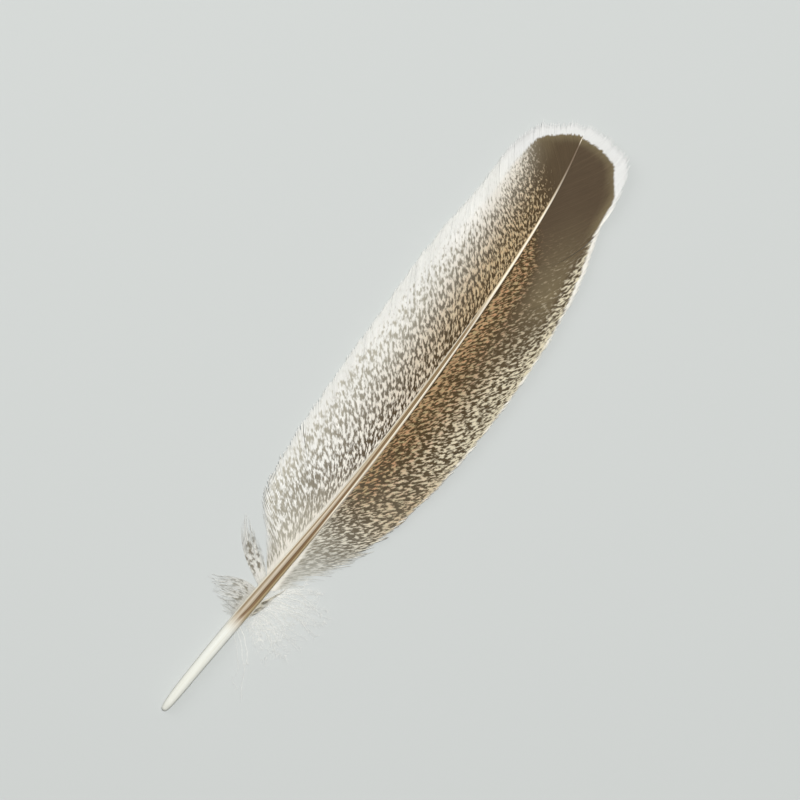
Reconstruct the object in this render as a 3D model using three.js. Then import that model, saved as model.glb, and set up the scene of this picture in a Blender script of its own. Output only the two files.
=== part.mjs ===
// A large wing feather that lies on a surface with its under side up.
// Millimetres. In the feather's own measure, `along` runs from the end of the quill to the tip, `across` is the
// distance from the middle of the shaft, and a side is -1 for the wide inner vane or 1 for the outer vane.
import * as THREE from "three";

// The shaft: its length, and tables read as smooth curves of [along, value].
const shaftLength = 320;
const shaftBow = [[0, -1], [20, 0], [60, 2.9], [110, 7], [160, 9.6], [205, 10.2], [250, 9.4], [285, 7], [305, 4.2],
  [325, 0]];
const shaftWidth = [[0, 0], [0.6, 1.9], [2.5, 3.3], [8, 4.4], [24, 5.2], [62, 5.9], [85, 5.3], [120, 4.2], [155, 3.5],
  [190, 2.9], [215, 2.3], [240, 1.6], [290, 1.05], [312, 0.7], [320, 0.35]];
const shaftHeight = [[0, 0], [0.6, 1.9], [2.5, 3.3], [8, 4.4], [24, 5.2], [62, 5.5], [100, 4.8], [150, 3.9], [200, 3],
  [250, 1.9], [290, 1.2], [312, 0.8], [320, 0.35]];
const shaftSides = 15; // an odd count puts a corner in the groove and a flat along the back
const shaftSteps = 56;
const shaftCrowding = 1.3; // over 1 sets the steps closer together at the quill's end
const grooveShare = 0.24; // depth of the groove against the shaft's height
const grooveStart = 48;
const grooveFull = 74;

// How the feather lies: its back touches the surface in the middle, and its two ends and both edges rise.
const quillRise = 2;
const quillRiseStart = 48;
const tipRise = 5;
const tipRiseStart = 235;
const flatHalf = 10; // half width of the strip that lies flat
const edgeRise = 9; // what an edge one vaneReach beyond that strip would rise
const vaneReach = 35;

const vaneThickness = 0.6;
const tuftThickness = 0.5;
const outerTuftLift = 1.6; // it springs from half way up the shaft, above the down
const threadLift = 0.4;
const clearance = 0.3; // between a barb's root and the shaft

// Barbs, from the lowest up. Each row is one barb: where it leaves the shaft, its tip's along and across, and its
// angle to the shaft in degrees as it leaves and at its tip. The barbs between two rows follow from them.
const innerVaneBarbs = [
  [76, 84, 10.5, 40, 50],
  [80, 93, 18.8, 38, 56],
  [85, 103, 27, 36, 56],
  [96, 126, 31.9, 29, 44],
  [118, 162, 34.8, 24, 32],
  [151, 205, 35.6, 22, 22],
  [190, 246, 34.9, 22, 18],
  [224, 275, 30.8, 22, 16],
  [256, 299, 27.8, 24, 16],
  [280, 314, 21.8, 26, 18],
  [298, 320.5, 13.5, 24, 16],
  [311, 324, 5.6, 18, 12],
  [319.5, 325, 1.2, 8, 8],
];
const outerVaneBarbs = [
  [73, 81, 8.6, 40, 46],
  [77, 91, 14, 36, 50],
  [82, 102, 20.6, 35, 44],
  [92, 121, 26, 31, 32],
  [114, 158, 32.2, 26, 22],
  [146, 203, 34, 24, 16],
  [184, 243, 32.6, 24, 14],
  [214, 268, 29.6, 24, 12],
  [236, 285, 25.9, 26, 10],
  [260, 304, 26.1, 30, 8],
  [277, 315.4, 24.3, 32, 10],
  [290, 320, 20, 30, 10],
  [301, 323, 13.6, 26, 10],
  [311, 324.8, 7, 17, 8],
  [320, 325.4, 1.2, 5, 5],
];
const upperTuftBarbs = [
  [70.6, 83.5, 25, 76, 46],
  [72.3, 89, 28.6, 62, 42],
  [74, 91.5, 25.5, 48, 48],
];
const lowerTuftBarbs = [
  [52.5, 51.5, 6, 100, 100],
  [56.5, 54.5, 12.5, 95, 105],
  [61, 57.8, 19, 88, 106],
  [65, 60.5, 24, 82, 110],
  [68.5, 64, 25, 76, 114],
];
const outerTuftBarbs = [
  [56, 64, 8, 48, 30],
  [60, 71, 9.5, 40, 26],
  [64, 78, 9.5, 34, 20],
];
const downBarbs = [
  [52, 44, 24, 70, 100],
  [57, 56, 31, 60, 85],
  [62, 70, 33, 52, 72],
  [67, 82, 31, 44, 62],
  [71, 92, 25, 36, 52],
];
const looseThreads = [
  [47, 21.5, 21.5, 125, 160],
  [49, 24, 24, 118, 160],
  [51, 28.5, 25, 112, 155],
];

// How far a barb holds each of its two angles, as shares of its length.
const leavingPull = 0.4;
const arrivingPull = 0.35;

const materials = {
  quill: new THREE.MeshStandardMaterial({ color: 0xe9e4d6, roughness: 0.4, metalness: 0 }),
  paleVane: new THREE.MeshStandardMaterial({ color: 0xb5ab9b, roughness: 0.7, metalness: 0 }),
  darkVane: new THREE.MeshStandardMaterial({ color: 0x6f6350, roughness: 0.7, metalness: 0 }),
  down: new THREE.MeshStandardMaterial({ color: 0xd9d5ca, roughness: 0.9, metalness: 0 }),
};

// A smooth curve through rows, each of which stands at its place: its first column if no places are given.
function curveThrough(rows, places = rows.map((row) => row[0])) {
  const width = rows[0].length;
  const curve = new THREE.CubicInterpolant(places, rows.flat(), width);
  return (place) => Array.from(curve.evaluate(place));
}

const bowCurve = curveThrough(shaftBow);
const widthCurve = curveThrough(shaftWidth);
const heightCurve = curveThrough(shaftHeight);
const bowAt = (along) => bowCurve(along)[1];
const widthAt = (along) => widthCurve(Math.min(along, shaftLength))[1];
const heightAt = (along) => heightCurve(Math.min(along, shaftLength))[1];

// How high the under side lies above the surface.
function riseAt(along, across) {
  const quill = Math.max(0, (quillRiseStart - along) / quillRiseStart) ** 2;
  const tip = Math.max(0, (along - tipRiseStart) / (shaftLength - tipRiseStart)) ** 2;
  const edge = Math.max(0, (Math.abs(across) - flatHalf) / vaneReach) ** 2;
  return quillRise * quill + tipRise * tip + edgeRise * edge;
}

// The place in space of a point given by along, across (positive to the outer side) and its height.
function placed(along, across, height) {
  const turn = Math.atan(bowAt(along + 0.5) - bowAt(along - 0.5));
  return new THREE.Vector3(bowAt(along) + across * Math.cos(turn), along - across * Math.sin(turn), height);
}

// Moves every point of a geometry to where `moved` puts it.
function reshaped(geometry, moved) {
  const points = geometry.getAttribute("position");
  for (let i = 0; i < points.count; i++) {
    const { x, y, z } = moved(new THREE.Vector3().fromBufferAttribute(points, i));
    points.setXYZ(i, x, y, z);
  }
  geometry.computeVertexNormals();
  return geometry;
}

// The shaft is turned as a round rod with the right widths, then bent, made as high as it should be, and grooved
// along the top.
function shaftGeometry() {
  const profile = [];
  for (let i = 0; i <= shaftSteps; i++) {
    const along = shaftLength * (i / shaftSteps) ** shaftCrowding;
    const closed = i === 0 || i === shaftSteps;
    profile.push(new THREE.Vector2(closed ? 0 : widthAt(along) / 2, along));
  }
  const rod = new THREE.LatheGeometry(profile, shaftSides, Math.PI / 2);
  const backFlat = Math.cos(Math.PI / shaftSides); // the back's flat lies this share of the radius below the middle
  return reshaped(rod, ({ x, y, z }) => {
    const radius = widthAt(y) / 2;
    const height = heightAt(y);
    const up = radius > 0 ? x / radius : 0;
    const isTopCorner = up > backFlat;
    const groove = isTopCorner ? grooveShare * height * THREE.MathUtils.smoothstep(y, grooveStart, grooveFull) : 0;
    return placed(y, -z, riseAt(y, 0) + (height * (up + backFlat)) / (1 + backFlat) - groove);
  });
}

function heading(degrees) {
  const angle = THREE.MathUtils.degToRad(degrees);
  return new THREE.Vector2(Math.cos(angle), Math.sin(angle));
}

// One barb's point: a curve that leaves the shaft's side at one angle and reaches its tip at another.
function barbPoint([root, tipAlong, tipAcross, leaving, arriving], reach) {
  const start = new THREE.Vector2(root, widthAt(root) / 2 + clearance);
  const end = new THREE.Vector2(tipAlong, tipAcross);
  const chord = start.distanceTo(end);
  const leave = heading(leaving).multiplyScalar(leavingPull * chord).add(start);
  const arrive = heading(arriving).multiplyScalar(-arrivingPull * chord).add(end);
  return new THREE.CubicBezierCurve(start, leave, arrive, end).getPoint(reach);
}

// A thin plate of barbs. A flat box's grid becomes the plate: its width runs out along the barbs, and its length
// from the lowest barb to the highest.
function plateGeometry({ barbs, side, outSteps, upSteps, thickness, lift = 0 }) {
  const rows = curveThrough(barbs, barbs.map((row, i) => i / (barbs.length - 1)));
  const box = new THREE.BoxGeometry(1, 1, 1, outSteps, upSteps, 1);
  return reshaped(box, ({ x, y, z }) => {
    const reach = side * x + 0.5;
    const { x: along, y: across } = barbPoint(rows(y + 0.5), reach);
    return placed(along, side * across, riseAt(along, across) + lift + (z + 0.5) * thickness);
  });
}

function piece(name, geometry, material) {
  const mesh = new THREE.Mesh(geometry, material);
  mesh.name = name;
  return mesh;
}

const vane = { outSteps: 9, upSteps: 60, thickness: vaneThickness };
const tuft = { outSteps: 7, upSteps: 6, thickness: tuftThickness };

const plates = [
  ["inner_vane", materials.paleVane, { ...vane, barbs: innerVaneBarbs, side: -1 }],
  ["outer_vane", materials.darkVane, { ...vane, barbs: outerVaneBarbs, side: 1 }],
  ["upper_tuft", materials.paleVane, { ...tuft, barbs: upperTuftBarbs, side: -1 }],
  ["lower_tuft", materials.paleVane, { ...tuft, barbs: lowerTuftBarbs, side: -1 }],
  ["outer_tuft", materials.darkVane, { ...tuft, barbs: outerTuftBarbs, side: 1, lift: outerTuftLift }],
  ["basal_down", materials.down, { ...tuft, barbs: downBarbs, side: 1, upSteps: 10 }],
  ["loose_threads", materials.down, { ...tuft, barbs: looseThreads, side: 1, lift: threadLift }],
];

const feather = new THREE.Group();
feather.add(piece("quill_shaft", shaftGeometry(), materials.quill));
for (const [name, material, shape] of plates) {
  feather.add(piece(name, plateGeometry(shape), material));
}

// The origin is the middle of the feather's footprint, on the surface it lies on.
const extent = new THREE.Box3().setFromObject(feather);
const middle = extent.getCenter(new THREE.Vector3());
feather.position.set(-middle.x, -middle.y, -extent.min.z);

export default feather;
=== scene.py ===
import math

import bmesh
import bpy
import numpy as np
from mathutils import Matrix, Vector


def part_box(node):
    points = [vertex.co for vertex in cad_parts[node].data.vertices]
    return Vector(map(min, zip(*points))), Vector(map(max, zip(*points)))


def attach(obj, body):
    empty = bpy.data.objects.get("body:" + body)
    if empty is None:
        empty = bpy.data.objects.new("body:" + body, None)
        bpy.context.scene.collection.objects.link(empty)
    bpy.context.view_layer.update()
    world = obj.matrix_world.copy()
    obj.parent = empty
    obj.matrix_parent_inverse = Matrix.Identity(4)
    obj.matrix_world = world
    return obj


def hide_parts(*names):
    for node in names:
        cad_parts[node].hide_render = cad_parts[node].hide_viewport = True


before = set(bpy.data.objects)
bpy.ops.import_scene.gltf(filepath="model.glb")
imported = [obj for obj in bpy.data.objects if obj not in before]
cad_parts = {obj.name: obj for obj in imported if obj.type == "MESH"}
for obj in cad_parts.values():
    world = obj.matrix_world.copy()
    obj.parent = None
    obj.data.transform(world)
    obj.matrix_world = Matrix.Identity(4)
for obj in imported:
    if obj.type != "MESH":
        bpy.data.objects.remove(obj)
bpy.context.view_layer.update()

# A large wing feather that lies with its under side up. Lengths are in millimetres until a mesh is finished.
# `along` runs from the end of the quill to the tip, `across` is the distance from the middle of the shaft,
# and a side is -1 for the wide inner vane or 1 for the outer vane.
mm = 0.001

shaft = {
    "length": 320,
    # Lists of [along, value], read as smooth curves. The bow is towards the outer vane.
    "bow": [[0, -1], [20, 0], [60, 2.9], [110, 7], [160, 9.6], [205, 10.2], [250, 9.4], [285, 7],
            [305, 4.2], [325, 0]],
    "width": [[0, 0], [0.6, 1.9], [2.5, 3.3], [8, 4.4], [24, 5.2], [62, 5.9], [85, 5.3], [120, 4.2],
              [155, 3.5], [190, 2.9], [215, 2.3], [240, 1.6], [290, 1.05], [312, 0.7], [320, 0.35]],
    "height": [[0, 0], [0.6, 1.9], [2.5, 3.3], [8, 4.4], [24, 5.2], [62, 5.5], [100, 4.8], [150, 3.9],
               [200, 3], [250, 1.9], [290, 1.2], [312, 0.8], [320, 0.35]],
    "sides": 56,
    "steps": 190,
    "crowding": 1.3,  # over 1 sets the steps closer together at the quill's end
    "squareness": [[0, 2], [10, 2.5], [45, 2.6], [75, 2.6], [200, 2.7], [320, 2.2]],  # 2 is round
    # Depths are shares of the shaft's height, and places across it are shares of its half width.
    "grooveDepth": [[40, 0], [48, 0], [70, 0.3], [110, 0.3], [150, 0.26], [200, 0.16], [240, 0.05],
                    [320, 0]],
    "grooveMiddle": [[40, 0.05], [60, 0.28], [90, 0.33], [130, 0.22], [170, 0.02], [320, 0]],
    "grooveReach": 0.42,
    "seamDepth": 0.05,
    "seamMiddle": -0.65,
    "seamReach": 0.12,
    "seamStart": [52, 66],
    "seamEnd": [260, 150],
}

# How the feather lies: its back touches the surface in the middle, and its two ends and both edges rise.
lie = {
    "quillRise": 2,
    "quillRiseStart": 48,
    "tipRise": 5,
    "tipRiseStart": 235,
    "flatHalf": 10,
    "edgeRise": 9,
    "vaneReach": 35,
}


def curveThrough(rows, places=None):
    # A smooth curve through rows, each of which stands at its place: its first column if no places are given.
    rows = np.array(rows, float)
    at = rows[:, 0] if places is None else np.array(places, float)
    rates = np.diff(rows, axis=0) / np.diff(at)[:, None]
    slopes = np.vstack([rates[:1], (rates[1:] + rates[:-1]) / 2, rates[-1:]])

    def read(place):
        place = np.clip(np.asarray(place, float), at[0], at[-1])
        i = np.clip(np.searchsorted(at, place, side="right") - 1, 0, len(at) - 2)
        gap = (at[i + 1] - at[i])[..., None]
        t = (place - at[i])[..., None] / gap
        startPart = (2 * t**3 - 3 * t**2 + 1) * rows[i] + (t**3 - 2 * t**2 + t) * gap * slopes[i]
        endPart = (3 * t**2 - 2 * t**3) * rows[i + 1] + (t**3 - t**2) * gap * slopes[i + 1]
        return startPart + endPart

    return read


def valueCurve(rows):
    read = curveThrough(rows)
    return lambda place: read(place)[..., 1]


bowAt = valueCurve(shaft["bow"])
widthAt = valueCurve(shaft["width"])
heightAt = valueCurve(shaft["height"])


def ramp(value, start, end):
    # 0 at start and before it, 1 at end and past it, and smooth between
    t = np.clip((value - start) / (end - start), 0, 1)
    return t * t * (3 - 2 * t)


def riseAt(along, across):
    quill = np.maximum(0, (lie["quillRiseStart"] - along) / lie["quillRiseStart"]) ** 2
    tip = np.maximum(0, (along - lie["tipRiseStart"]) / (shaft["length"] - lie["tipRiseStart"])) ** 2
    edge = np.maximum(0, (np.abs(across) - lie["flatHalf"]) / lie["vaneReach"]) ** 2
    return lie["quillRise"] * quill + lie["tipRise"] * tip + lie["edgeRise"] * edge


# The frame says where the feather is: its shaft starts at the box's near side and bows out to its far right.
shaftLow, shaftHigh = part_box("quill_shaft")
shaftPlaces = np.linspace(0, shaft["length"], 2 * shaft["length"] + 1)  # every half millimetre
startX = shaftHigh.x / mm - np.max(bowAt(shaftPlaces) + widthAt(shaftPlaces) / 2)
startY = shaftLow.y / mm


def placed(along, across):
    # X and Y of a point that is `across` to the outer side of the shaft's middle line
    slope = bowAt(along + 0.5) - bowAt(along - 0.5)
    turn = np.arctan(slope)
    return startX + bowAt(along) + across * np.cos(turn), startY + along - across * np.sin(turn)


def finished(mesh, node, material):
    piece = bpy.data.objects.new(mesh.name, mesh)
    bpy.context.scene.collection.objects.link(piece)
    mesh.materials.append(material)
    mesh.shade_smooth()
    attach(piece, "root")
    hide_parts(node)
    return piece


# How materials are written.

def linear(colour):
    # "e0d8c8" as the linear numbers that a shader takes
    shares = [int(colour[i:i + 2], 16) / 255 for i in (0, 2, 4)]
    return [s / 12.92 if s <= 0.04045 else ((s + 0.055) / 1.055) ** 2.4 for s in shares] + [1]


def coloursOf(finish):
    return {key: linear(value) for key, value in finish.items() if isinstance(value, str) and key != "name"}


class Wire:
    # A value in a material's nodes. Sums on it add Math nodes.
    def __init__(self, tree, socket=None):
        self.tree = tree
        self.socket = socket

    def node(self, kind, settings=None, inputs=None, output=0):
        made = self.tree.nodes.new(kind)
        for key, value in (settings or {}).items():
            setattr(made, key, value)
        for key, value in (inputs or {}).items():
            if isinstance(value, Wire):
                self.tree.links.new(value.socket, made.inputs[key])
            else:
                made.inputs[key].default_value = value
        return Wire(self.tree, made.outputs[output])

    def sum(self, operation, first, second=0.0):
        return self.node("ShaderNodeMath", {"operation": operation}, {0: first, 1: second})

    def __add__(self, other):
        return self.sum("ADD", self, other)

    def __radd__(self, other):
        return self.sum("ADD", other, self)

    def __sub__(self, other):
        return self.sum("SUBTRACT", self, other)

    def __rsub__(self, other):
        return self.sum("SUBTRACT", other, self)

    def __mul__(self, other):
        return self.sum("MULTIPLY", self, other)

    def __rmul__(self, other):
        return self.sum("MULTIPLY", other, self)

    def __abs__(self):
        return self.sum("ABSOLUTE", self)

    def sine(self):
        return self.sum("SINE", self)

    def rising(self, start, end):
        inputs = {"Value": self, "From Min": start, "From Max": end}
        return self.node("ShaderNodeMapRange", {"interpolation_type": "SMOOTHSTEP"}, inputs)

    def eased(self, row):
        amount, start, end = row
        return amount * self.rising(start, end)

    def between(self, first, second):
        # first where this is 0 and second where it is 1, as colours
        return self.node("ShaderNodeMix", {"data_type": "RGBA"}, {0: self, 6: first, 7: second}, 2)

    def value(self, name):
        return self.node("ShaderNodeAttribute", {"attribute_name": name}, output=2)

    def vector(self, name):
        return self.node("ShaderNodeAttribute", {"attribute_name": name}, output=1)

    def noise(self, place, scale, detail=1.0, roughness=0.5):
        inputs = {"Vector": place, "Scale": scale, "Detail": detail, "Roughness": roughness}
        return self.node("ShaderNodeTexNoise", None, inputs)

    def stretched(self, place, factors):
        return self.node("ShaderNodeVectorMath", {"operation": "MULTIPLY"}, {0: place, 1: factors})

    def brightened(self, colour, amount):
        return self.node("ShaderNodeHueSaturation", None, {"Value": amount, "Color": colour})


def newMaterial(name):
    material = bpy.data.materials.new(name)
    material.use_nodes = True
    shader = material.node_tree.nodes["Principled BSDF"]
    return material, shader, Wire(material.node_tree)


def feed(wire, shader, name):
    wire.tree.links.new(wire.socket, shader.inputs[name])


def setShine(shader, finish):
    shader.inputs["Roughness"].default_value = finish["roughness"]
    shader.inputs["Specular IOR Level"].default_value = finish["specular"]


def raised(wire, shader, height, distance):
    bump = wire.node("ShaderNodeBump", None, {"Strength": 1.0, "Distance": distance * mm, "Height": height})
    feed(bump, shader, "Normal")


# Every barb and fibre is a closed strip, or a thin rod.

def ringMesh(name, rings, values, flat):
    # rings[strand, step, corner] are points, `values` attributes, and `flat` the map that markings bake to.
    strands, steps, corners, _ = rings.shape
    index = np.arange(strands * steps * corners).reshape(strands, steps, corners)
    turned = np.roll(index, -1, axis=2)
    walls = np.stack([index[:, :-1], turned[:, :-1], turned[:, 1:], index[:, 1:]], axis=-1).reshape(-1, 4)
    faces = walls.tolist() + index[:, 0, ::-1].tolist() + index[:, -1].tolist()
    mesh = bpy.data.meshes.new(name)
    mesh.from_pydata(rings.reshape(-1, 3) * mm, [], faces)
    for key, value in values.items():
        if value.ndim > 3:
            layer = mesh.attributes.new(key, "FLOAT_VECTOR", "POINT")
            layer.data.foreach_set("vector", value.astype(np.float32).ravel())
        else:
            layer = mesh.attributes.new(key, "FLOAT", "POINT")
            layer.data.foreach_set("value", value.astype(np.float32).ravel())
    corner = np.empty(len(mesh.loops), np.int32)
    mesh.loops.foreach_get("vertex_index", corner)
    layer = mesh.uv_layers.new(name="OFBake")
    layer.uv.foreach_set("vector", flat.reshape(-1, 2)[corner].astype(np.float32).ravel())
    return mesh


def unit(vectors):
    return vectors / np.maximum(np.linalg.norm(vectors, axis=-1, keepdims=True), 1e-9)


stripCorners = np.array([[-1, -0.4], [1, -0.4], [0, 0.6]])  # flat below, with a ridge along the top
rodCorners = np.array([[-0.87, -0.5], [0.87, -0.5], [0, 1]])


def mapped(corners, columnShare, upward):
    # upward[strand, step] is how high a point is on the map, where every strand has a column of its own.
    strands, steps = upward.shape
    aside = 0.5 + columnShare * corners[:, 0]
    shape = (strands, steps, len(corners))
    column = np.broadcast_to((np.arange(strands)[:, None, None] + aside) / strands, shape)
    return np.stack([column, np.broadcast_to(upward[..., None], shape)], axis=-1)


def ringsAlong(paths, halfWidth, halfHeight, corners, lean=0.0):
    # paths[strand, step] are points. `lean` turns a strip about its own line, in degrees.
    forward = unit(np.gradient(paths, axis=1))
    up = unit(np.array([0, 0, 1.0]) - forward * forward[..., 2:])
    aside = np.cross(up, forward)
    turn = math.radians(lean)
    leaned = aside * math.cos(turn) + up * math.sin(turn)
    risen = up * math.cos(turn) - aside * math.sin(turn)
    wide = halfWidth[..., None, None] * corners[:, :1] * leaned[..., None, :]
    high = halfHeight[..., None, None] * corners[:, 1:] * risen[..., None, :]
    return paths[..., None, :] + wide + high


def evenBarbs(rows, count):
    # That many barbs between the first row and the last, rooted at even steps along the shaft
    read = curveThrough(rows, np.linspace(0, 1, len(rows)))
    places = np.linspace(0, 1, rowPlaces)
    roots = read(places)[:, 0]
    return read(np.interp(np.linspace(roots[0], roots[-1], count), roots, places))


leavingPull = 0.4  # how far a barb holds each of its two angles, as shares of its length
arrivingPull = 0.35
rootDepth = 0.5  # how far a barb starts inside the shaft
rowPlaces = 2001  # how finely the rows of barbs are read
outlinePlaces = 300  # and how finely the outline that their tips make
stepCrowding = 0.08  # over 0 sets the steps closer together at a barb's root and tip


def barbPoints(barbs, shares):
    # along and across of points at these shares of each barb
    root, tipAlong, tipAcross, leaving, arriving = barbs.T
    start = np.stack([root, np.maximum(widthAt(root) / 2 - rootDepth, 0)], axis=1)
    end = np.stack([tipAlong, tipAcross], axis=1)
    chord = np.linalg.norm(end - start, axis=1)[:, None]

    def heading(degrees):
        return np.stack([np.cos(np.radians(degrees)), np.sin(np.radians(degrees))], axis=1)

    leave = start + leavingPull * chord * heading(leaving)
    arrive = end - arrivingPull * chord * heading(arriving)
    t = shares[..., None]
    points = [p[:, None] for p in (start, leave, arrive, end)]
    curve = (1 - t) ** 3 * points[0] + 3 * (1 - t) ** 2 * t * points[1]
    curve = curve + 3 * (1 - t) * t**2 * points[2] + t**3 * points[3]
    return curve[..., 0], curve[..., 1]


def wander(rng, count, every):
    # A smooth run of random numbers, new at every so many places, with a few to spare at the end
    knots = count // every + 4
    rows = rng.normal(size=(knots, 1))
    return curveThrough(rows, np.arange(knots))(np.arange(count) / every)[:, 0]


def distanceFrom(line, along, across):
    # How far each point is from the nearest of a line of points
    nearest = np.full(along.shape, 1e9)
    for lineAlong, lineAcross in line:
        nearest = np.minimum(nearest, (along - lineAlong) ** 2 + (across - lineAcross) ** 2)
    return np.sqrt(nearest)


def barbEnds(rng, look, barbs, loose):
    # Where barbs end, as shares of their length: most vary a little, some stand out, and loose ones stray.
    count = look["count"]
    root, tipAlong, tipAcross = barbs[:, :3].T
    length = np.hypot(tipAlong - root, tipAcross - widthAt(root) / 2)
    spread = look["lengthSpread"] * (1 + look["looseSpread"] * loose)
    isWisp = rng.uniform(size=count) < look["wispShare"]
    wisps = isWisp * rng.uniform(0.5, 1, count) * look["wispLength"]
    clumps = look["clumpLength"] * wander(rng, count, look["clumpBarbs"])
    clumps = clumps * ramp(root, *look["clumpStart"])
    longer = (rng.normal(0, spread, count) + wisps + clumps) / np.maximum(length, look["shortLength"])
    ends = 1 + np.clip(longer, -look["mostLonger"], look["mostLonger"])
    ends = ends - look["shorter"] * rng.uniform(size=count) ** 2
    isStray = rng.uniform(size=count) < look["strayShare"]
    strays = isStray * rng.uniform(0.3, 1, count)
    return ends + strays * look["strayLength"] * loose


def pushedAside(rng, look, root, loose, shares, along, across):
    # Barbs drift to one side or the other in bunches, part at the splits, and wave.
    count = look["count"]
    headAlong = np.gradient(along, axis=1)
    headAcross = np.gradient(across, axis=1)
    size = np.maximum(np.hypot(headAlong, headAcross), 1e-9)
    wide, small = [wander(rng, count, every) for every in look["driftBarbs"]]
    drift = look["drift"] * wide + 0.5 * look["drift"] * small
    drift = drift * (1 + look["looseDrift"] * loose)
    for place, opening in look["splits"]:
        beyond = root - place
        drift = drift + 0.5 * opening * np.sign(beyond) * np.exp(-np.abs(beyond) / look["splitReach"])
    aside = drift[:, None] * ramp(shares, *look["driftGrows"]) ** look["driftPower"]
    waveSize = look["waves"] * rng.normal(size=(count, 1))
    waveStart = rng.uniform(0, look["waveStarts"], (count, 1))
    waves = waveSize * np.sin(shares * look["waveTurn"] + waveStart)
    aside = aside + waves * ramp(shares, *look["wavesGrow"])
    return along + aside * headAcross / size, across - aside * headAlong / size


def barbPaths(rng, look, root, along, across):
    # The points of each barb, and how far along the barb they are. A barb leaves the shaft part way up its
    # side and settles onto the vane.
    x, y = placed(along, look["side"] * across)
    walked = np.cumsum(np.hypot(np.diff(x), np.diff(y)), axis=1)
    reach = np.concatenate([np.zeros((look["count"], 1)), walked], axis=1)
    ridge = look["rootHeight"] * heightAt(root)[:, None] * np.exp(-reach / look["rootSettle"])
    swell = look["swell"] * wander(rng, look["count"], look["swellBarbs"])[:, None]
    swell = swell * ramp(across, *look["swellGrows"])
    z = riseAt(along, across) + look["lift"] + ridge + swell
    return np.stack([x, y, z], axis=-1), reach


def barbRings(look, paths, reach, loose):
    # A strip is as wide as the room to its neighbours, and narrows to its tip.
    gap = paths[1:] - paths[:-1]
    forward = unit(np.gradient(paths, axis=1))[:-1]
    room = np.abs(gap[..., 0] * forward[..., 1] - gap[..., 1] * forward[..., 0])
    room = np.vstack([room[:1], (room[1:] + room[:-1]) / 2, room[-1:]])
    toTip = reach[:, -1:] - reach
    taperReach = look["tipTaper"] * (1 + look["looseTaper"] * loose)
    tipShare = look["tipShare"] * (1 - look["looseTip"] * loose)
    taper = tipShare + (1 - tipShare) * ramp(toTip / taperReach, 0, 1)
    looser = (look["looseOverlap"] - look["overlap"]) * loose * ramp(reach, *look["loosensAt"])
    overlap = look["overlap"] + looser
    halfWidth = np.clip(0.5 * overlap * room, look["least"] / 2, look["most"] / 2) * taper
    thinning = look["tipThinness"] + (1 - look["tipThinness"]) * ramp(toTip / reach[:, -1:], 0, 1)
    thick = look["thickness"] * thinning * (0.5 + 0.5 * taper)
    halfHeight = np.minimum(thick / 2, halfWidth)
    return ringsAlong(paths, halfWidth, halfHeight, stripCorners, look["lean"] * -look["side"])


def grainPlaces(look, root, reach, strand):
    # Places in the fleck noise, measured in flecks: from barb to barb, and out along a barb
    low = ramp(root, *look["lowFlecks"])
    high = ramp(root, *look["tipFlecks"])
    lengthChange = 1 - look["tipFleckShorter"] * high + look["lowFleckLonger"] * low
    pitchChange = 1 - look["tipFleckNarrower"] * high - look["lowFleckNarrower"] * low
    fleckLength = look["fleckLength"] * lengthChange
    fleckPitch = look["fleckPitch"] * pitchChange
    rootStep = np.gradient(root)
    station = np.repeat(np.cumsum(rootStep / fleckPitch)[:, None], reach.shape[1], axis=1)
    slide = np.cumsum(look["slip"] * rootStep / fleckLength)
    slide = slide[:, None] + (reach + look["fleckJitter"] * (strand - 0.5)) / fleckLength[:, None]
    return np.stack([station, slide, 0 * station], axis=-1)


def growBarbs(look, marks):
    # Lays every barb of one vane or tuft as a flat strip, and says what its markings are at each point.
    rng = np.random.default_rng(look["seed"])
    barbs = evenBarbs(look["barbs"], look["count"])
    root = barbs[:, 0]
    loose = ramp(root, *look["looseBetween"])
    even = np.linspace(0, 1, look["steps"])
    crowded = even - stepCrowding * np.sin(2 * math.pi * even)
    shares = crowded * barbEnds(rng, look, barbs, loose)[:, None]
    along, across = barbPoints(barbs, shares)
    along, across = pushedAside(rng, look, root, loose, shares, along, across)
    paths, reach = barbPaths(rng, look, root, along, across)
    rings = barbRings(look, paths, reach, loose[:, None])

    # Markings go by how near a point is to the outline, and by where it is on the vane.
    edgeBarbs = evenBarbs(look["barbs"], outlinePlaces)
    edge = np.stack(barbPoints(edgeBarbs, np.ones((outlinePlaces, 1))), axis=-1)[:, 0]
    inward = distanceFrom(edge, along, across)
    strand = np.repeat(rng.uniform(size=(look["count"], 1)), look["steps"], axis=1)
    values = {"strand": strand, "reach": reach, **marks(along, across, inward)}
    values["grain"] = grainPlaces(look, root, reach, strand)
    corners = len(stripCorners)
    values = {key: np.repeat(value[:, :, None], corners, axis=2) for key, value in values.items()}
    return ringMesh(look["name"], rings, values, mapped(stripCorners, 0.48, reach / reach.max()))


# The inner vane is pale, white at its edge, with a dark patch under the white fringe of the tip.

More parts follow.
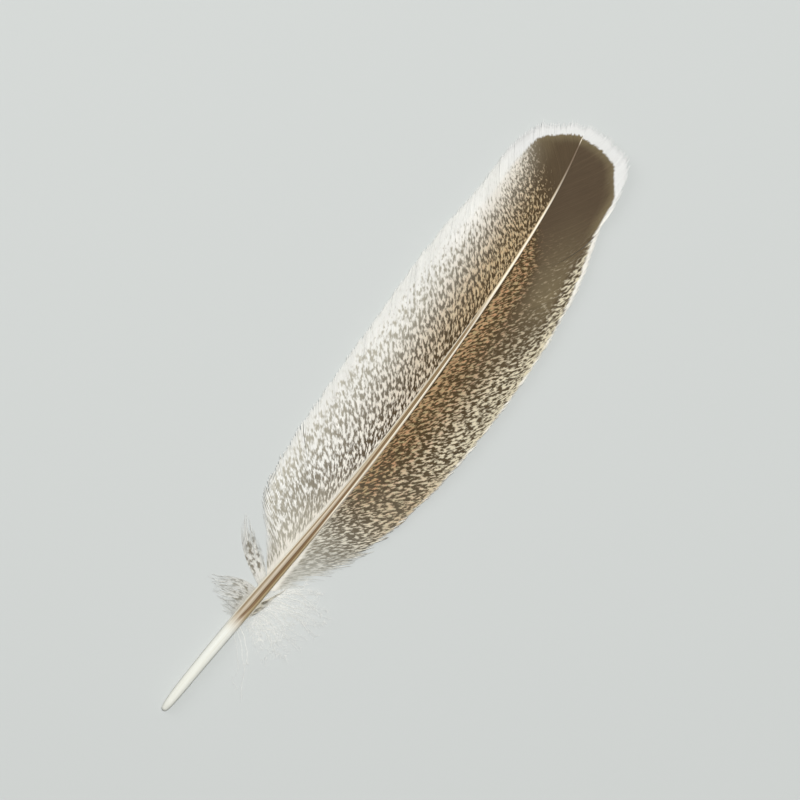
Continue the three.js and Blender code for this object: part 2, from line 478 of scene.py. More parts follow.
innerVane = {
    "name": "innerVane",
    "side": -1,
    "seed": 11,
    # Each row is one barb: where it leaves the shaft, its tip's along and across, and its angle to the shaft
    # in degrees as it leaves and at its tip. The barbs between two rows follow from them.
    "barbs": [
        [76, 84, 10.5, 40, 50], [80, 93, 19, 38, 56], [85, 103, 27.6, 36, 56], [96, 126, 32.7, 29, 44],
        [118, 162, 35.6, 24, 32], [151, 205, 36.5, 22, 22], [190, 246, 35.6, 22, 18],
        [224, 275, 31.2, 22, 16], [256, 299, 28.2, 24, 16], [280, 313.4, 22, 26, 18],
        [298, 319.3, 13.6, 24, 16], [311, 322.8, 5.6, 18, 12], [319.5, 323.8, 0.2, 8, 8],
    ],
    "count": 560,
    "steps": 16,
    # A strip's shape: its width against the room it has, and the least and most that this may be
    "overlap": 1.2,
    "least": 0.1,
    "most": 1.3,
    "lean": 9,
    "thickness": 0.07,
    "lift": 0.3,
    "rootHeight": 0.3,  # of the shaft's height
    "rootSettle": 3,
    "swell": 0.15,
    "swellBarbs": 40,  # how many barbs a swell is wide
    "swellGrows": [6, 24],  # across
    "tipTaper": 2.5,
    "tipShare": 0.45,
    "tipThinness": 0.35,
    # Barbs hang together above the first of these roots and are loose below the second.
    "looseBetween": [94, 76],
    "looseSpread": 2,
    "looseDrift": 2,
    "looseTaper": 2,
    "looseTip": 0.6,
    "looseOverlap": 0.9,
    "loosensAt": [1, 6],  # from the shaft
    # How far barbs end from the outline
    "lengthSpread": 0.5,
    "shortLength": 4,
    "mostLonger": 0.12,
    "shorter": 0,
    "strayShare": 0.12,  # of the loose barbs are longer, by up to strayLength of a barb
    "strayLength": 0.1,
    "wispShare": 0.07,
    "wispLength": 1.1,
    "clumpLength": 0.45,  # how far bunches of barbs stand out of the tip's fringe
    "clumpBarbs": 3,
    "clumpStart": [250, 285],
    # How barbs drift and wave to their sides. Ranges are shares of a barb.
    "drift": 0.16,
    "driftBarbs": [7, 2],  # how many barbs drift together, in wide bunches and in small ones
    "driftGrows": [0.1, 1.0],
    "driftPower": 1.6,
    "waves": 0.04,
    "waveTurn": 9,  # radians along a barb
    "waveStarts": 6.28,  # radians: a wave starts anywhere in a turn
    "wavesGrow": [0.2, 1],
    "splits": [[104, 0.5], [176, 0.25], [263, 0.25]],  # where barbs part, and by how much
    "splitReach": 3,
    # The flecks' size, and how it changes low on the vane and towards the tip
    "fleckPitch": 1.8,
    "fleckLength": 2.9,
    "fleckJitter": 0.8,
    "slip": 0.85,
    "lowFlecks": [140, 84],
    "lowFleckLonger": 0.3,
    "lowFleckNarrower": 0.5,
    "tipFlecks": [225, 265],
    "tipFleckShorter": 0.45,
    "tipFleckNarrower": 0.15,
    # Width of the plain white band inside the edge, by distance along the feather
    "whiteBand": [[80, 0.3], [110, 1.4], [140, 1.9], [170, 2.0], [195, 2.4], [220, 3.2], [245, 4.3],
                  [265, 4.8], [285, 5.2], [302, 5.5], [313, 4.9], [325, 4.7]],
}

# What a vane's markings say at each point:
#   light     how much of the ground the pale flecks cover, with 0.5 for half
#   tone      how far the dark flecks have faded
#   warm      how brown the pale flecks are, and base how white they are near the quill
#   plain     1 on the dark area that has no flecks
#   faint     how far the pale flecks fade there, and olive its colour
#   inset     millimetres inside the white band, and tipward 1 where that is the tip's fringe
#   rootPale  how far a pale line beside the shaft reaches, and rootShow how clear it is
#
# A mark is a sum of changes. Each is an amount, and its measures: two numbers are where it comes in and is
# complete, four are where a window opens and closes, and none stand for the measure itself. What some marks
# are never less than is under atLeast.

innerPattern = {
    "light": [
        [0.45, {}],
        [0.12, {"out": []}],
        [-0.12, {"across": [6, 1], "along": [190, 212]}],
        [0.132, {"across": [6, 1], "along": [228, 244]}],
        [0.34, {"edgeward": [1, 0], "along": [100, 180], "flecked": []}],
        [-0.1, {"slanted": [255, 275]}],
        [-0.1, {"along": [96, 106, 118, 132]}],
        [-0.4, {"plain": []}],
    ],
    "tone": [[1, {"fading": []}], [0.12, {"across": [16, 21, 27, 33], "along": [170, 188, 228, 244]}]],
    "warm": [[1, {"along": [100, 245], "across": [31, 5]}]],
    "faint": [[0.4, {"plain": []}], [0.6, {"slanted": [284, 298]}]],
    "olive": [[1, {"plain": [], "inset": [4.5, 0]}]],
    "tipward": [[1, {"along": [282, 304]}]],
    "base": [[0.4, {"along": [120, 84]}]],
    "rootPale": [[1.6, {}], [1.8, {"along": [158, 118]}]],
    "rootShow": [[1, {"along": [168, 122]}]],
    "atLeast": {
        "tone": [[0.75, {"along": [160, 88]}]],
        "warm": [[0.3, {"across": [18, 4]}]],
        "olive": [[0.5, {"plain": [], "across": [7, 15]}]],
    },
}
innerMeasures = {
    "plain": [[1, {"slanted": [275, 301]}]],
    "edgeReach": [[5, {}], [4.5, {"along": [182, 210]}]],
    "fadePower": [[1.2, {}], [0.45, {"along": [150, 220]}], [0.7, {"along": [235, 280]}]],
    "fadeOut": [0.08, 0.85],  # where the fading starts and how wide it is, in shares of the way out
}
slant = 0.8  # the plain area is further along by this, for every millimetre across


def summed(changes, at):
    # The sum of a mark's changes, with each point's measures in `at`
    total = 0
    for amount, rows in changes:
        for measure, row in rows.items():
            if len(row) == 4:
                opens, isOpen, closes, isClosed = row
                amount = amount * (ramp(at[measure], opens, isOpen) * ramp(at[measure], isClosed, closes))
            else:
                amount = amount * (ramp(at[measure], *row) if row else at[measure])
        total = total + amount
    return total


def measured(vane, along, across, inward):
    # What a mark's changes can go by. `out` is 0 at the shaft and 1 at the vane's edge.
    return {"along": along, "across": across, "inward": inward,
            "inset": inward - valueCurve(vane["whiteBand"])(along),
            "out": across / np.maximum(across + inward, 0.1),
            "fromSide": across - widthAt(along) / 2, "slanted": along - slant * across}


def allMarks(pattern, at):
    marks = {key: summed(changes, at) for key, changes in pattern.items() if key != "atLeast"}
    for key, changes in pattern["atLeast"].items():
        marks[key] = np.maximum(marks[key], summed(changes, at))
    return {"inset": at["inset"], "plain": at["plain"], **marks}


def innerMarks(along, across, inward):
    at = measured(innerVane, along, across, inward)
    at["plain"] = summed(innerMeasures["plain"], at)
    at["flecked"] = 1 - at["plain"]
    at["edgeward"] = at["inset"] / summed(innerMeasures["edgeReach"], at)
    fadeStart, fadeWidth = innerMeasures["fadeOut"]
    fading = np.clip((at["out"] - fadeStart) / fadeWidth, 0, 1)
    at["fading"] = fading ** summed(innerMeasures["fadePower"], at)
    return allMarks(innerPattern, at)


outerVane = {
    **innerVane,
    "name": "outerVane",
    "side": 1,
    "seed": 23,
    "barbs": [
        [71.5, 78, 9, 46, 54], [76.5, 90, 14, 38, 51], [82, 102, 20.6, 35, 44], [92, 121, 26, 31, 32],
        [114, 158, 31.7, 26, 22], [146, 203, 34, 24, 16], [184, 243, 32.6, 24, 14], [214, 268, 29.6, 24, 12],
        [236, 285, 25.9, 26, 10], [260, 304, 26, 30, 8], [277, 314.8, 24, 32, 10], [290, 319, 19.7, 30, 10],
        [301, 322, 13.4, 26, 10], [311, 323.6, 7, 17, 8], [320, 324.2, 0.2, 5, 5],
    ],
    "splits": [[128, 0.25], [239, 0.4]],
    "looseBetween": [104, 76],
    "looseOverlap": 0.62,
    "strayShare": 0.3,
    "strayLength": 0.32,
    "fleckPitch": 1.7,
    "fleckLength": 2.7,
    "whiteBand": [[80, 0.3], [150, 0.2], [200, 0.5], [250, 0.9], [265, 1.6], [280, 1.6], [292, 1.6],
                  [301, 1.9], [309, 5.7], [318, 6.1], [326, 4.9]],
    # The plain dark area's edges towards the shaft and towards the vane's edge
    "plainInner": [[180, 10.5], [215, 10.5], [250, 11], [260, 8.5], [268, 4], [276, 0], [286, -3]],
    "plainOuter": [[180, 15.5], [205, 19], [222, 27], [235, 27.5], [250, 25.5], [264, 24.2], [275, 24.2],
                   [286, 25.5], [292, 40]],
}
outerPattern = {
    "light": [
        [0.4, {}],
        [0.075, {"out": []}],
        [-0.06, {"along": [195, 145]}],
        [0.06, {"along": [124, 78]}],
        [0.22, {"inset": [3, 0], "along": [260, 228]}],
        [-0.1, {"along": [270, 286]}],
        [0.2, {"along": [100, 84], "across": [14, 5]}],
        [0.15, {"across": [5, 2.5], "along": [112, 124, 164, 176]}],
        [0.28, {"across": [6, 1.5], "along": [140, 185, 232, 260]}],
        [-0.3, {"plain": []}],
        # A painted shadow of the shaft: a narrow dark line on the vane right beside it, where the pale flecks
        # give way.
        [-0.8, {"fromSide": [0.75, 0.3], "along": [162, 178, 238, 262]}],
    ],
    "tone": [[0.06, {"out": [0.3, 1]}], [0.1, {"along": [165, 125]}], [0.95, {"along": [124, 78]}]],
    "warm": [[1, {"out": [0.85, 0.2], "along": [104, 138]}]],
    "faint": [[0.65, {"plain": []}], [0.35, {"plain": [], "along": [258, 284]}]],
    "olive": [[1, {"plain": [], "inset": [4.5, 0]}]],
    "tipward": [[1, {"along": [286, 306]}]],
    "base": [[1, {"along": [134, 92]}]],
    "rootPale": [[1.4, {}], [2.4, {"along": [118, 84]}]],
    "rootShow": [[0.6, {"along": [156, 136]}], [0.4, {"along": [104, 92]}]],
    "atLeast": {
        "tone": [[0.4, {"inward": [2, 0.3], "along": [258, 220]}]],
        "warm": [[0.5, {"along": [104, 138, 140, 175]}]],
        "olive": [[1, {"plain": [], "along": [300, 240], "out": [0, 0.7]}]],
    },
}
outerMeasures = {
    # The plain area lies between its two edges. It comes in slowly from its low end.
    "plainSides": [[1, {"pastInner": [-2, 2], "beforeOuter": [-1.5, 1.5], "along": [178, 212]}]],
    "plainWhole": [[0.3, {}], [0.7, {"along": [221, 256]}]],
}


def outerMarks(along, across, inward):
    at = measured(outerVane, along, across, inward)
    at["pastInner"] = across - valueCurve(outerVane["plainInner"])(along)
    at["beforeOuter"] = valueCurve(outerVane["plainOuter"])(along) - across
    at["plain"] = summed(outerMeasures["plainSides"], at) * summed(outerMeasures["plainWhole"], at)
    marks = allMarks(outerPattern, at)
    return {**marks, "tone": np.clip(marks["tone"], 0, 1)}


# The colours of barbs, and how flecks, streaks and the white band are drawn from the markings.

innerFinish = {
    "name": "paleBarbs",
    "dark": "4f3f28",
    "darkFaded": "c9c4b3",
    "light": "fcfbf5",
    "lightWarm": "cbaf86",
    "lightOlive": "cbb791",
    "lightBase": "f3f0e7",
    "patch": "5b4c38",
    "patchOlive": "7c6f54",
    "band": "f9f9f3",
    "bandTip": "ededea",
    "root": "eae5da",
    "roughness": 0.62,
    "specular": 0.15,
    "softness": 0.072,
    "softnessFaded": 0.12,
    "raggedScale": 4.7,
    "raggedness": 0.08,
    "clusterScale": 0.3,
    "clusters": 0.08,
    "lightReach": 0.36,  # how far light from 0 to 1 moves the flecks' threshold
    "hueStretch": (1.7, 0.6, 1.0),
    "hueScale": 1.3,
    "hueChange": [0.42, 0.58],
    "rootEdge": 1.2,
    "streakStretch": (2.2, 0.25, 1.0),
    "streakLow": 0.86,
    "streaks": 0.28,
    "strandShade": 0.1,
    "paleStrands": [0.9, 0.97],  # the few strands that make pale lines in the plain area
    "paleLines": 0.12,
    "serration": 0.9,
    "bandEdge": 0.35,
    "bandBlend": 1.8,
    "bandFlecks": 0.3,  # how much the flecks still show in the white band
    "barbules": (18.0, 20.0),  # radians for each millimetre of a barb, and from barb to barb
    "barbuleHeight": 0.004,
}
outerFinish = {
    **innerFinish,
    "name": "darkBarbs",
    "dark": "4f3f26",
    "darkFaded": "bcb7a6",
    "light": "e3d9bd",
    "lightWarm": "c79a72",
    "lightOlive": "b8a57a",
    "lightBase": "ebe8dc",
    "patch": "5b4c3a",
    "band": "fbf8ee",
    "root": "fdf9ee",
    "softness": 0.08,
    "softnessFaded": 0.11,
    "bandBlend": 0.35,
    "bandFlecks": 0,
}


def barbFinish(finish):
    material, shader, wire = newMaterial(finish["name"])
    grain = wire.vector("grain")
    strand = wire.value("strand")
    reach = wire.value("reach")
    tone = wire.value("tone")
    plain = wire.value("plain")
    strandOff = strand - 0.5
    colours = coloursOf(finish)

    # Pale flecks stand where the noise is over a threshold.
    fleck = wire.noise(grain, 1.0, 1.6, 0.6)
    ragged = wire.noise(grain, finish["raggedScale"])
    level = fleck + (ragged - 0.5) * finish["raggedness"]
    clusters = wire.noise(grain, finish["clusterScale"])
    threshold = 0.5 + (0.5 - wire.value("light")) * finish["lightReach"]
    threshold = threshold + (clusters - 0.5) * finish["clusters"]
    soft = finish["softness"] + tone * (finish["softnessFaded"] - finish["softness"])
    isLight = level.rising(threshold - soft, threshold + soft)

    dark = tone.between(colours["dark"], colours["darkFaded"])
    patch = wire.value("olive").between(colours["patch"], colours["patchOlive"])
    dark = plain.between(dark, patch)
    hue = wire.noise(wire.stretched(grain, finish["hueStretch"]), finish["hueScale"])
    hue = hue.rising(*finish["hueChange"])
    warmLight = hue.between(colours["lightWarm"], colours["lightOlive"])
    light = wire.value("warm").between(colours["light"], warmLight)
    light = wire.value("base").between(light, colours["lightBase"])
    marked = (isLight * (1 - wire.value("faint"))).between(dark, light)
    pastRoot = reach - wire.value("rootPale")
    pale = pastRoot.rising(finish["rootEdge"], -finish["rootEdge"]) * wire.value("rootShow")
    marked = pale.between(marked, colours["root"])

    streak = wire.noise(wire.stretched(grain, finish["streakStretch"]), 1.0)
    paleLine = strand.rising(*finish["paleStrands"]) * plain
    shade = finish["streakLow"] + finish["streaks"] * streak + strandOff * finish["strandShade"]
    marked = wire.brightened(marked, shade + finish["paleLines"] * paleLine)

    inset = wire.value("inset") + strandOff * finish["serration"]
    edge = inset.rising(-finish["bandEdge"], finish["bandEdge"] + (1 - plain) * finish["bandBlend"])
    edge = edge + (1 - edge) * (1 - wire.value("tipward")) * finish["bandFlecks"]
    band = wire.value("tipward").between(colours["band"], colours["bandTip"])
    feed(edge.between(band, marked), shader, "Base Color")
    setShine(shader, finish)
    alongBarb, betweenBarbs = finish["barbules"]
    barbules = (reach * alongBarb + strand * betweenBarbs).sine()
    raised(wire, shader, barbules, finish["barbuleHeight"])
    return material


print("growing the vanes")
paleBarbs = barbFinish(innerFinish)
darkBarbs = barbFinish(outerFinish)
finished(growBarbs(innerVane, innerMarks), "inner_vane", paleBarbs)
finished(growBarbs(outerVane, outerMarks), "outer_vane", darkBarbs)

# Tufts low on the shaft.

upperTuft = {
    **innerVane,
    "name": "upperTuft",
    "seed": 31,
    "barbs": [[70.4, 87.5, 27.5, 70, 32], [72, 91, 28, 58, 38], [73.6, 90.5, 24.8, 50, 46],
              [75.4, 84, 13, 44, 50]],
    "count": 36,
    "overlap": 0.9,
    "looseBetween": [0, -1],
    "drift": 0.35,
    "waves": 0.12,
    "lengthSpread": 1.5,
    "shorter": 0.3,
    "strayShare": 0,
    "tipTaper": 16,
    "tipShare": 0.15,
    "splits": [],
    "lowFleckNarrower": 0,
    "slip": 0.5,
    "fleckPitch": 1.1,
    "fleckLength": 1.9,
    "light": 0.56,
    "tone": 0.45,
    "paleRoots": [8, 5],
    "paleTips": [19, 24],
}
lowerTuft = {
    **upperTuft,
    "name": "lowerTuft",
    "seed": 37,
    "barbs": [[52.5, 51.5, 7, 100, 100], [56.5, 54, 12, 95, 105], [61, 56.6, 16.6, 90, 106],
              [65, 59, 20.6, 87, 108], [68.5, 61.4, 22.4, 82, 110]],
    "count": 54,
    "overlap": 0.78,
    "drift": 0.5,
    "waves": 0.25,
    "lengthSpread": 1.8,
    "tipTaper": 12,
    "fleckPitch": 0.8,
    "fleckLength": 2.2,
    "light": 0.62,
    "tone": 0.62,
    "paleRoots": [5, 2],
    "paleTips": [40, 45],
}
outerTuft = {
    **upperTuft,
    "name": "outerTuft",
    "side": 1,
    "seed": 41,
    "barbs": [[56, 65, 6, 34, 16], [60, 72, 7, 30, 14], [64, 79, 8, 26, 12]],
    "count": 12,
    "lift": 1.7,
    "overlap": 0.8,
    "tipTaper": 8,
    "lengthSpread": 1,
    "fleckPitch": 0.6,
    "fleckLength": 2.6,
    "light": 0.5,
    "tone": 0.3,
    "paleRoots": [2, -1],
    "paleTips": [40, 45],
}


def tuftMarks(look):
    # The same all over a tuft, but plain and pale next to the shaft and towards the tips
    light, tone = look["light"], look["tone"]

    def marks(along, across, inward):
        pale = np.maximum(ramp(across, *look["paleRoots"]), ramp(across, *look["paleTips"]))
        flat = np.ones_like(along)
        values = {"inset": 9, "warm": 0, "plain": 0, "faint": 0, "olive": 0, "tipward": 1, "base": 0.5,
                  "rootPale": 1.5, "rootShow": 1}
        values = {key: value * flat for key, value in values.items()}
        return {**values, "light": light + 0.5 * pale, "tone": tone + (1 - tone) * pale}

    return marks


print("growing the tufts")
finished(growBarbs(upperTuft, tuftMarks(upperTuft)), "upper_tuft", paleBarbs)
finished(growBarbs(lowerTuft, tuftMarks(lowerTuft)), "lower_tuft", paleBarbs)
finished(growBarbs(outerTuft, tuftMarks(outerTuft)), "outer_tuft", darkBarbs)

# Down and loose threads.

down = {
    "seed": 53,
    "barbs": [[52, 44, 24, 70, 100], [57, 56, 31, 60, 85], [62, 70, 33, 52, 72], [67, 82, 31, 44, 62],
              [71, 92, 25, 36, 52]],
    "count": 44,
    "steps": 16,
    "shortest": 0.55,  # of a stem's row
    "radius": 0.05,
    "stoutness": [0.45, 1.25],  # of the radius, for the lowest stem and the highest
    "taper": 0.6,
    "curl": 1.3,
    "curlSteps": 4,
    "curlGrows": [0, 0.6],
    "curlRise": 0.35,
    "lift": 0.6,
    "fibresEach": 34,
    "fibreStart": 0.12,
    "fibreLength": 2.6,
    "fibreShortest": 0.4,
    "fibreRadius": 0.02,
    "fibreForward": [0.3, 1.1],
    "fibreRise": 0.25,
    "fibreBend": [-0.2, 0.35],
    "fibreSteps": [0.0, 0.4, 0.75, 1.0],
    "fibreThins": [1, 0.9, 0.7, 0.4],
    "lowest": 0.1,  # fibres stay that far above the floor
}
threads = {
    **down,
    "seed": 59,
    "barbs": [[47, 21.5, 21.5, 125, 160], [49, 24, 24, 118, 160], [51, 28.5, 25, 112, 155]],
    "count": 3,
    "steps": 60,
    "radius": 0.09,
    "curl": 0.9,
    "curlSteps": 12,
    "lift": 0.8,
    "fibresEach": 26,
    "fibreLength": 1.3,
}


def downStems(rng, look):
    # The points of wandering stems on the outer side, and how thick they are there
    count, steps = look["count"], look["steps"]
    barbs = evenBarbs(look["barbs"], count)
    shares = np.linspace(0, 1, steps)[None] * rng.uniform(look["shortest"], 1.0, (count, 1))
    along, across = barbPoints(barbs, shares)
    curls = [wander(rng, steps, look["curlSteps"]) for _ in range(3 * count)]
    curl = np.stack(curls).reshape(3, count, steps) * look["curl"] * ramp(shares, *look["curlGrows"])
    x, y = placed(along + curl[0], across + curl[1])
    z = riseAt(along, across) + look["lift"] + look["curlRise"] * np.abs(curl[2])
    stoutness = np.linspace(*look["stoutness"], count)[:, None]
    return np.stack([x, y, z], axis=-1), look["radius"] * stoutness * (1 - look["taper"] * shares)


def downFibres(rng, look, stems):
    # The points of short bent fibres to both sides of the stems, and how thick they are there
    each = (look["count"], look["fibresEach"], 1)
    lastStart = look["steps"] - 1.001  # just short of the last point of a stem
    starts = rng.uniform(look["fibreStart"], 1.0, each[:2]) * lastStart
    at = starts.astype(int)
    part = (starts - at)[..., None]
    stem = np.arange(look["count"])[:, None]
    base = stems[stem, at] * (1 - part) + stems[stem, at + 1] * part
    forward = unit(np.gradient(stems, axis=1))[stem, at]
    aside = np.stack([-forward[..., 1], forward[..., 0], 0 * forward[..., 0]], axis=-1)
    way = np.where(rng.uniform(size=each) < 0.5, -1.0, 1.0)
    rise = rng.normal(0, look["fibreRise"], each) * np.array([0, 0, 1.0])
    heading = unit(forward * rng.uniform(*look["fibreForward"], each) + aside * way + rise)
    size = look["fibreLength"] * rng.uniform(look["fibreShortest"], 1, each)
    bend = size * rng.uniform(*look["fibreBend"], each)
    points = [base + heading * size * t + forward * bend * t * t for t in look["fibreSteps"]]
    fibres = np.stack(points, axis=2).reshape(-1, len(points), 3)
    fibres[..., 2] = np.maximum(fibres[..., 2], look["lowest"])
    return fibres, np.full(fibres.shape[:2], look["fibreRadius"]) * np.array(look["fibreThins"])


def rodMesh(name, paths, radius, mapStart):
    # Rods along paths, in the half of the map that begins at mapStart
    upward = np.tile(mapStart + np.linspace(0.01, 0.49, paths.shape[1]), (len(paths), 1))
    rings = ringsAlong(paths, radius, radius, rodCorners)
    return ringMesh(name, rings, {}, mapped(rodCorners, 0.45, upward))


def growDown(name, look):
    rng = np.random.default_rng(look["seed"])
    stems, stemRadius = downStems(rng, look)
    fibres, fibreRadius = downFibres(rng, look, stems)
    mesh = rodMesh(name, stems, stemRadius, 0)
    more = rodMesh(name + "Fibres", fibres, fibreRadius, 0.5)
    joined = bmesh.new()
    joined.from_mesh(mesh)
    joined.from_mesh(more)
    joined.to_mesh(mesh)
    joined.free()
    bpy.data.meshes.remove(more)
    return mesh


downLook = {
    "colour": "f8f6f0",
    "roughness": 0.8,
    "specular": 0.2,
    "glow": 0.25,
}


def downFinish():
    material, shader, _ = newMaterial("downFibre")
    shader.inputs["Base Color"].default_value = linear(downLook["colour"])
    setShine(shader, downLook)
    # Light passes through such thin fibres, which a little light of their own stands in for.
    shader.inputs["Emission Color"].default_value = linear(downLook["colour"])
    shader.inputs["Emission Strength"].default_value = downLook["glow"]
    return material


print("growing the down")
downFibre = downFinish()
finished(growDown("basalDown", down), "basal_down", downFibre)
finished(growDown("looseThreads", threads), "loose_threads", downFibre)

# The quill and the shaft.


def shapedShaft(angle, along):
    # Points round the shaft at these angles, with how far each is to the side and up: from -1 to 1
    power = 2 / valueCurve(shaft["squareness"])(along)
    side = np.sign(np.cos(angle)) * np.abs(np.cos(angle)) ** power
    up = np.sign(np.sin(angle)) * np.abs(np.sin(angle)) ** power
    fromGroove = np.abs(side - valueCurve(shaft["grooveMiddle"])(along))
    groove = ramp(fromGroove, shaft["grooveReach"], 0) * (up > 0)
    fromSeam = np.abs(side - shaft["seamMiddle"])
    seam = ramp(fromSeam, shaft["seamReach"], 0) * ramp(along, *shaft["seamStart"]) * (up > 0)
    seamDepth = shaft["seamDepth"] * ramp(along, *shaft["seamEnd"])
    height = heightAt(along)
    x, y = placed(along, side * widthAt(along) / 2)
    z = riseAt(along, 0) + height * (up + 1) / 2
    z = z - height * (groove * valueCurve(shaft["grooveDepth"])(along) + seam * seamDepth)
    return np.stack([x, y, z], axis=-1), side, up


def mapShaft(bm, angle, along):
    # The map goes once round the shaft, and a face across its seam reaches one side's width past the end.
    flat = bm.loops.layers.uv.new("OFBake")
    turns = angle / (2 * math.pi) + 0.5
    for face in bm.faces:
        shares = [turns[loop.vert.index] for loop in face.loops]
        wraps = max(shares) - min(shares) > 0.5
        for loop, share in zip(face.loops, shares, strict=True):
            lifted = share + 1 if wraps and share < 0.5 else share
            lengthShare = along[loop.vert.index] / shaft["length"]
            loop[flat].uv = (lifted * shaft["sides"] / (shaft["sides"] + 1), lengthShare)


def growShaft():
    bm = bmesh.new()
    bmesh.ops.create_cone(bm, cap_ends=True, segments=shaft["sides"], radius1=1, radius2=1, depth=1)
    lengthwise = [e for e in bm.edges if abs(e.verts[0].co.z - e.verts[1].co.z) > 0.5]
    bmesh.ops.subdivide_edges(bm, edges=lengthwise, cuts=shaft["steps"] - 1)
    corners = np.array([v.co for v in bm.verts])
    angle = np.arctan2(corners[:, 1], corners[:, 0])
    along = shaft["length"] * np.clip(corners[:, 2] + 0.5, 0, 1) ** shaft["crowding"]
    points, side, up = shapedShaft(angle, along)
    layers = {key: bm.verts.layers.float.new(key) for key in ("side", "along", "up")}
    for i, vert in enumerate(bm.verts):
        vert.co = points[i] * mm
        vert[layers["side"]] = side[i]
        vert[layers["along"]] = along[i]
        vert[layers["up"]] = up[i]
    mapShaft(bm, angle, along)
    bmesh.ops.remove_doubles(bm, verts=bm.verts, dist=1e-7)
    bmesh.ops.recalc_face_normals(bm, faces=bm.faces)
    mesh = bpy.data.meshes.new("shaft")
    bm.to_mesh(mesh)
    bm.free()
    return mesh


shaftFinish = {
    "quill": "d6d7d0",
    "quillShade": "cdccbf",
    "edge": "e4dfcf",
    "face": "bfb29d",
    "faceFar": "a8977a",
    "line": "8a785c",
    # The groove's two colours are painted shade in the recess: dark brown, a little lighter towards the tip.
    "groove": "745b3c",
    "grooveShadeFar": "806b4b",
    "tan": "998765",
    "ridge": "f0e8d5",
    "ridgeFar": "efe6d2",
    "farShade": "c9b795",
    "tipLine": "6f5e4a",
    "back": "d8ccb4",
    "specular": 0.35,
    "roughness": [0.45, 0.2],  # and how much a streak adds
    "streakHeight": 0.05,
    "streakStretch": [7.0, 0.04],  # across and along
    "shadeStretch": [3.0, 0.02],
    "shade": [0.4, 1.2],  # and how much the noise adds
}
# Where the shaft's parts are. A side, an edge or a blend goes by side, from -1 inner to 1 outer, streaks go
# by the streak noise, and the rest goes by along. A row of three is an amount, and where it starts and is
# complete.
hornPattern = {
    "top": [-0.3, 0.1],  # by up
    "grooveSide": 0.33,
    "grooveShifts": [[0.33, 105, 170], [0.12, 170, 215], [0.3, 64, 47]],
    "grooveWidening": [0.24, 140, 185],
    "grooveEdge": [0.3, 0.12],
    "grooveStart": [47.5, 58],
    "lineSide": 0.62,
    "lineEdge": [0.2, 0.06],
    "lineStart": [50, 60],
    "lineEnd": [150, 112],
    "edgeSide": [-0.76, -0.88],
    "edgeWidening": [0.16, 125, 160],
    "tanSide": [0.42, 0.55],
    "tanStart": [50, 58],
    "tanEnd": [112, 96],
    # painted light on the shaft's outer rim
    "litRimSide": [0.93, 0.98],
    "ridgeSide": 0.5,
    "ridgeWidening": [0.16, 135, 180],
    "ridgeBlend": 0.16,
    "ridgeStart": [98, 128],
    "farStart": [215, 245],
    "faceFar": [112, 165],
    "faceStreaks": [0.35, 0.42, 0.6],
    "grooveShadeFar": [130, 180],
    "farSide": [-0.7, 0.3],
    "tipLineStart": [276, 308],
    "tipLineEnd": [318, 314],
    "bareStreaks": [0.3, 0.75],
    "rachisStart": [45, 56],
}


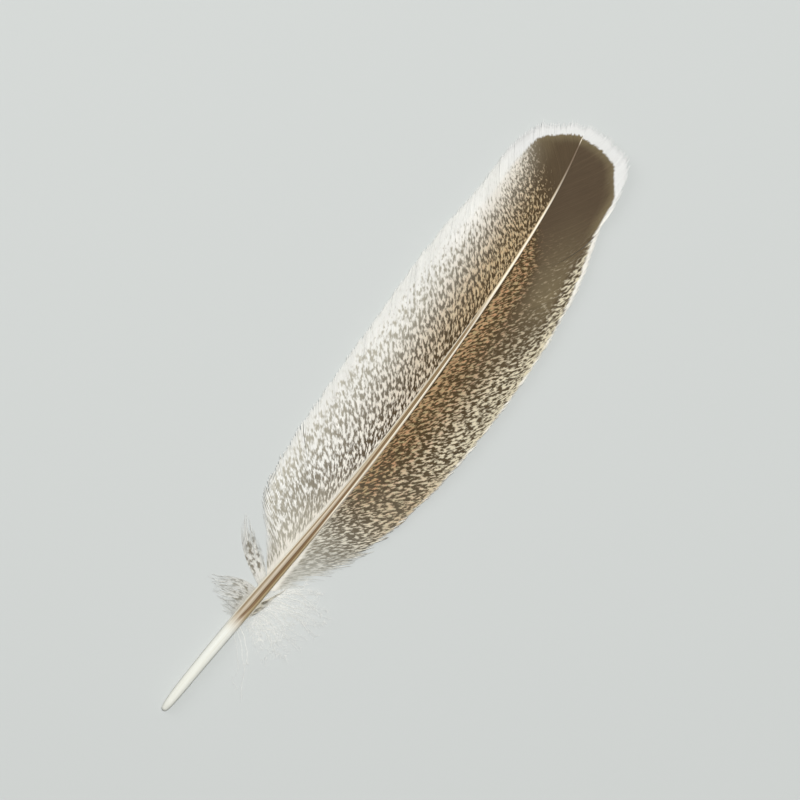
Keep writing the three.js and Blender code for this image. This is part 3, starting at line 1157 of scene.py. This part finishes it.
def hornFinish():
    # Across the top from the inner side: a pale edge, a fine dark line, a flat face, the groove with painted
    # shade in it, and a ridge.
    material, shader, wire = newMaterial("quillHorn")
    pattern = hornPattern
    colours = coloursOf(shaftFinish)
    side = wire.value("side")
    along = wire.value("along")
    up = wire.value("up")
    fine, long = shaftFinish["streakStretch"]
    place = wire.node("ShaderNodeCombineXYZ", None, {0: side * fine, 1: along * long, 2: up * fine})
    streak = wire.noise(place, 1.0, 3.0, 0.6)
    onTop = up.rising(*pattern["top"])

    # Where the groove's painted shade lies. Its middle moves across the shaft along its length.
    middle = pattern["grooveSide"]
    for shift in pattern["grooveShifts"]:
        middle = middle - along.eased(shift)
    fromGroove = abs(side - middle) - along.eased(pattern["grooveWidening"])
    paintedGrooveShade = fromGroove.rising(*pattern["grooveEdge"]) * along.rising(*pattern["grooveStart"])
    onLine = abs(side + pattern["lineSide"]).rising(*pattern["lineEdge"])
    onLine = onLine * along.rising(*pattern["lineStart"]) * along.rising(*pattern["lineEnd"])
    edgeStart, edgeFull = pattern["edgeSide"]
    onEdge = side.rising(edgeStart + along.eased(pattern["edgeWidening"]), edgeFull)
    onTan = side.rising(*pattern["tanSide"])
    onTan = onTan * along.rising(*pattern["tanStart"]) * along.rising(*pattern["tanEnd"])
    ridge = pattern["ridgeSide"] - along.eased(pattern["ridgeWidening"])
    onRidge = side.rising(ridge, ridge + pattern["ridgeBlend"]) * along.rising(*pattern["ridgeStart"])
    # Painted light: the outer rim, which faces away from the light, is painted as pale as the ridge.
    onRidge = side.rising(*pattern["litRimSide"]) + onRidge
    nearTip = along.rising(*pattern["farStart"])

    face = along.rising(*pattern["faceFar"]).between(colours["face"], colours["faceFar"])
    streakAmount, streakStart, streakFull = pattern["faceStreaks"]
    face = (streak.rising(streakStart, streakFull) * streakAmount).between(face, colours["line"])
    fine, long = shaftFinish["shadeStretch"]
    place = wire.node("ShaderNodeCombineXYZ", None, {0: side * fine, 1: along * long})
    darkest, added = shaftFinish["shade"]
    face = wire.brightened(face, darkest + added * wire.noise(place, 1.0, 2.0, 0.6))
    face = onTan.between(face, colours["tan"])
    face = onEdge.between(face, colours["edge"])
    face = onLine.between(face, colours["line"])
    # Painted shade fills the groove.
    grooveShadeColour = along.rising(*pattern["grooveShadeFar"]).between(colours["groove"], colours["grooveShadeFar"])
    face = paintedGrooveShade.between(face, grooveShadeColour)
    face = onRidge.between(face, colours["ridge"])
    far = side.rising(*pattern["farSide"]).between(colours["farShade"], colours["ridgeFar"])
    face = nearTip.between(face, far)
    tipLine = along.rising(*pattern["tipLineStart"]) * along.rising(*pattern["tipLineEnd"])
    face = tipLine.between(face, colours["tipLine"])
    face = onTop.between(colours["back"], face)
    bare = streak.rising(*pattern["bareStreaks"]).between(colours["quill"], colours["quillShade"])
    feed(along.rising(*pattern["rachisStart"]).between(bare, face), shader, "Base Color")
    roughness, roughStreaks = shaftFinish["roughness"]
    feed(roughness + roughStreaks * streak, shader, "Roughness")
    shader.inputs["Specular IOR Level"].default_value = shaftFinish["specular"]
    raised(wire, shader, streak, shaftFinish["streakHeight"])
    return material


print("shaping the shaft")
finished(growShaft(), "quill_shaft", hornFinish())

# Floor, light and camera.

studio = {
    "floorSize": 8.0,
    "floorDrop": 0.0001,
    "floorColour": "b9bcba",
    "skyColour": "edefee",
    "skyStrength": 0.1,
    "keyPower": 136.0,
    "keySize": 0.4,
    "keyPlace": (-0.05, 0.65, 3.4),
    "fillPower": 4.2,
    "fillSize": 1.0,
    "fillPlace": (-1.0, 0.0, 1.0),
}
view = {
    "turn": 35.8,  # degrees; the camera looks straight down
    "middleAlong": 175.4,
    "middleBow": 3.9,
    "height": 1.0,
    "lens": 100,
    "sensor": 36,
}


def layFloor():
    bm = bmesh.new()
    bmesh.ops.create_grid(bm, x_segments=1, y_segments=1, size=studio["floorSize"] / 2)
    mesh = bpy.data.meshes.new("floor")
    bm.to_mesh(mesh)
    bm.free()
    floor = bpy.data.objects.new("floor", mesh)
    bpy.context.scene.collection.objects.link(floor)
    material, shader, _ = newMaterial("floorPaint")
    shader.inputs["Base Color"].default_value = linear(studio["floorColour"])
    shader.inputs["Roughness"].default_value = 0.9
    shader.inputs["Specular IOR Level"].default_value = 0.1
    mesh.materials.append(material)
    floor.location.z = -studio["floorDrop"]


def softLight(name, power, size, place):
    light = bpy.data.lights.new(name, "AREA")
    light.energy = power
    light.size = size
    lamp = bpy.data.objects.new(name, light)
    bpy.context.scene.collection.objects.link(lamp)
    lamp.location = place
    lamp.rotation_euler = (-lamp.location).to_track_quat("-Z", "Y").to_euler()


def setCamera():
    camera = bpy.data.objects.new("camera", bpy.data.cameras.new("camera"))
    bpy.context.scene.collection.objects.link(camera)
    camera.data.lens = view["lens"]
    camera.data.sensor_width = view["sensor"]
    x = (startX + view["middleBow"]) * mm
    y = (startY + view["middleAlong"]) * mm
    camera.location = (x, y, view["height"])
    camera.rotation_euler = (0, 0, math.radians(view["turn"]))
    bpy.context.scene.camera = camera


print("setting up the studio")
layFloor()
softLight("key", studio["keyPower"], studio["keySize"], studio["keyPlace"])
softLight("fill", studio["fillPower"], studio["fillSize"], studio["fillPlace"])
world = bpy.data.worlds.new("sky")
world.use_nodes = True
world.node_tree.nodes["Background"].inputs["Color"].default_value = linear(studio["skyColour"])
world.node_tree.nodes["Background"].inputs["Strength"].default_value = studio["skyStrength"]
bpy.context.scene.world = world
bpy.context.scene.view_settings.view_transform = "Standard"
setCamera()
